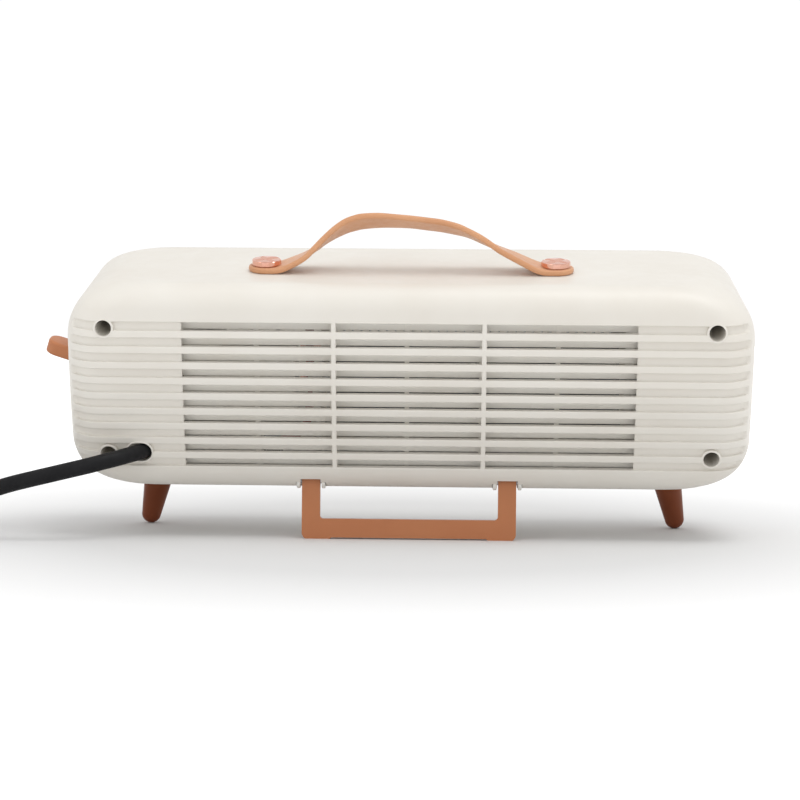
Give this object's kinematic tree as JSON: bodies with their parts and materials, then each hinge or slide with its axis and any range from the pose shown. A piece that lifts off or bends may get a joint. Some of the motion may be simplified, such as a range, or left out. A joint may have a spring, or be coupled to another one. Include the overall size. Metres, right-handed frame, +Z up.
{
  "type": "ceramic space heater",
  "caption": "Retro table-top ceramic fan heater: rounded cream case with grooved rear grille, leather strap handle, two peg legs and a fold-out U stand.",
  "frame": {"origin": "on the floor, under the middle of the heater's bounding box without its power cord", "axes": "+Z up from the floor, -Y out of the front grille, +X towards the side with the lever and the cord"},
  "size_m": [0.4409, 0.167, 0.1442],
  "materials": {
    "cream_plastic": "fine satin moulded ABS, warm cream",
    "tan_leather": "smooth tan leather strap with painted edges",
    "rose_gold": "polished rose-gold plating with cut facets",
    "terracotta_plastic": "satin terracotta brown moulding",
    "brown_plastic": "satin brown moulding in a wood tone",
    "steel": "zinc-plated or nickel-plated steel",
    "milky_nylon": "slightly translucent natural nylon",
    "black_rubber": "matt black rubber flex and mouldings",
    "dark_plastic": "black moulded plastic",
    "board_green": "solder-masked circuit board",
    "red_wire": "red silicone-insulated wires",
    "fan_grey": "grey heat-resistant moulding",
    "aluminium": "bare aluminium",
    "heater_frame": "ivory heat-resistant thermoset",
    "ceramic": "dark sintered heating ceramic",
    "copper": "copper strip"
  },
  "bodies": {
    "root": {"rear_housing": "cream_plastic", "front_frame": "cream_plastic", "front_grille": "cream_plastic", "rear_inner_louvre": "cream_plastic", "case_screws": "steel", "handle_strap": "tan_leather", "handle_screws": "rose_gold", "handle_nuts": "steel", "peg_leg_left": "brown_plastic", "peg_leg_right": "brown_plastic", "leg_studs": "steel", "leg_nuts": "steel", "stand_hinge_pins": "steel", "stand_hinge_bushes": "milky_nylon", "lever_pivot_pin": "steel", "lever_bracket": "cream_plastic", "selector_switch": "dark_plastic", "control_box": "cream_plastic", "control_board": "board_green", "terminal_block": "milky_nylon", "wiring_loom": "red_wire", "tip_over_switch": "dark_plastic", "motor_stator": "steel", "motor_bracket": "milky_nylon", "fan_bearing": "milky_nylon", "air_duct": "fan_grey", "ptc_frame": "heater_frame", "ptc_fins": "aluminium", "ptc_ceramics": "ceramic", "ptc_electrodes": "copper", "thermostat": "aluminium", "thermal_fuse": "steel", "strain_relief": "black_rubber", "cord_clamp": "milky_nylon", "cord_lead": "black_rubber", "cord_coil": "black_rubber", "coil_tie": "dark_plastic", "cord_tail": "black_rubber", "plug_body": "black_rubber", "plug_pins": "steel"},
    "stand": {"stand": "terracotta_plastic"},
    "lever": {"mode_lever": "terracotta_plastic"},
    "fan": {"fan_rotor": "fan_grey", "fan_shaft": "steel", "motor_rotor": "aluminium"}
  },
  "joints": [
    {"name": "stand_fold", "type": "hinge", "parent": "root", "child": "stand", "pos_m": [-0.0069, 0.02449, 0.02563], "axis": [-1, 0, 0], "range_deg": [0, 107]},
    {"name": "lever_tilt", "type": "hinge", "parent": "root", "child": "lever", "pos_m": [0.1311, 0.00231, 0.07733], "axis": [0, 0.9659, -0.2588], "range_deg": [0, 37]},
    {"name": "fan_spin", "type": "hinge", "parent": "root", "child": "fan", "pos_m": [-0.0069, 0.01007, 0.07152], "axis": [1, 0, 0], "continuous": true}
  ]
}
